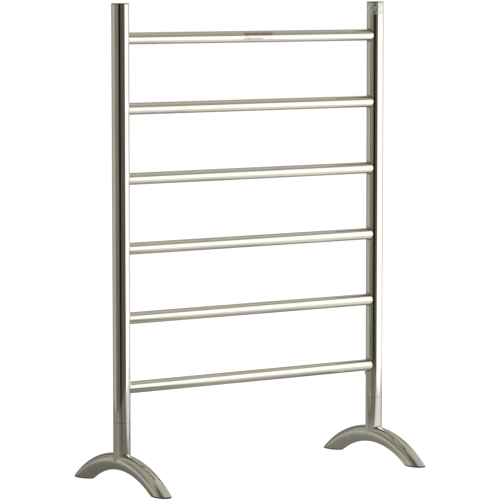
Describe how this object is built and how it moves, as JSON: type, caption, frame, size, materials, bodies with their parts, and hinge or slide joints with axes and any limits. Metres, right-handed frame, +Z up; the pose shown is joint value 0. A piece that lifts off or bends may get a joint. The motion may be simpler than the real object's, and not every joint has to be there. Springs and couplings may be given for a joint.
{
  "type": "towel warmer rack",
  "caption": "Free-standing electric towel warmer: round horizontal bars between two tube posts on arched tube feet, with a rocker switch behind one post.",
  "frame": {"origin": "on the floor, below the middle of the rack", "axes": "+X along the bars towards the post with the switch, -Y the front, +Z up"},
  "size_m": [0.6071, 0.3088, 0.876],
  "materials": {
    "polished_steel": "mirror-polished stainless steel",
    "inner_steel": "plain mill finish",
    "screw_steel": "plain stainless",
    "pad_rubber": "matte black rubber",
    "cable_sheath": "brick-red silicone sheath",
    "splice_sleeve": "white insulated crimp",
    "cutout_body": "cream moulded body",
    "lead_insulation": "brown insulated lead",
    "gland_plastic": "black nylon",
    "earth_brass": "plain brass",
    "switch_rubber": "black saddle",
    "switch_plastic": "fine satin black",
    "rocker_plastic": "gloss black rocker",
    "terminal_brass": "tinned brass",
    "clear_film": "clear film wrap, blank",
    "label_film": "thin film label, blank"
  },
  "bodies": {
    "rack": {"left_post": "polished_steel", "right_post": "polished_steel", "left_foot_arch": "polished_steel", "right_foot_arch": "polished_steel", "left_foot_stem": "polished_steel", "right_foot_stem": "polished_steel", "left_top_cap": "polished_steel", "right_top_cap": "polished_steel", "towel_bar_1": "polished_steel", "towel_bar_2": "polished_steel", "towel_bar_3": "polished_steel", "towel_bar_4": "polished_steel", "towel_bar_5": "polished_steel", "towel_bar_6": "polished_steel", "left_foot_spigot": "inner_steel", "left_front_end_plate": "inner_steel", "left_front_pad": "pad_rubber", "left_back_end_plate": "inner_steel", "left_back_pad": "pad_rubber", "right_foot_spigot": "inner_steel", "right_front_end_plate": "inner_steel", "right_front_pad": "pad_rubber", "right_back_end_plate": "inner_steel", "right_back_pad": "pad_rubber", "foot_fixing_screws": "screw_steel", "pad_screws": "screw_steel", "heating_cable": "cable_sheath", "cable_splices": "splice_sleeve", "thermal_cutout": "cutout_body", "cutout_leads": "lead_insulation", "cord_gland": "gland_plastic", "gland_nut": "gland_plastic", "earth_screw": "earth_brass", "earth_ring_terminal": "earth_brass", "earth_nut": "earth_brass", "switch_saddle": "switch_rubber", "switch_housing": "switch_plastic", "switch_terminals": "terminal_brass", "post_label": "clear_film", "bar_label": "label_film"},
    "rocker": {"switch_rocker": "rocker_plastic"}
  },
  "joints": [
    {"name": "rocker_tilt", "type": "hinge", "parent": "rack", "child": "rocker", "pos_m": [0.2875, 0.0168, 0.2624], "axis": [-1, 0, 0], "range_deg": [0, 18]}
  ]
}
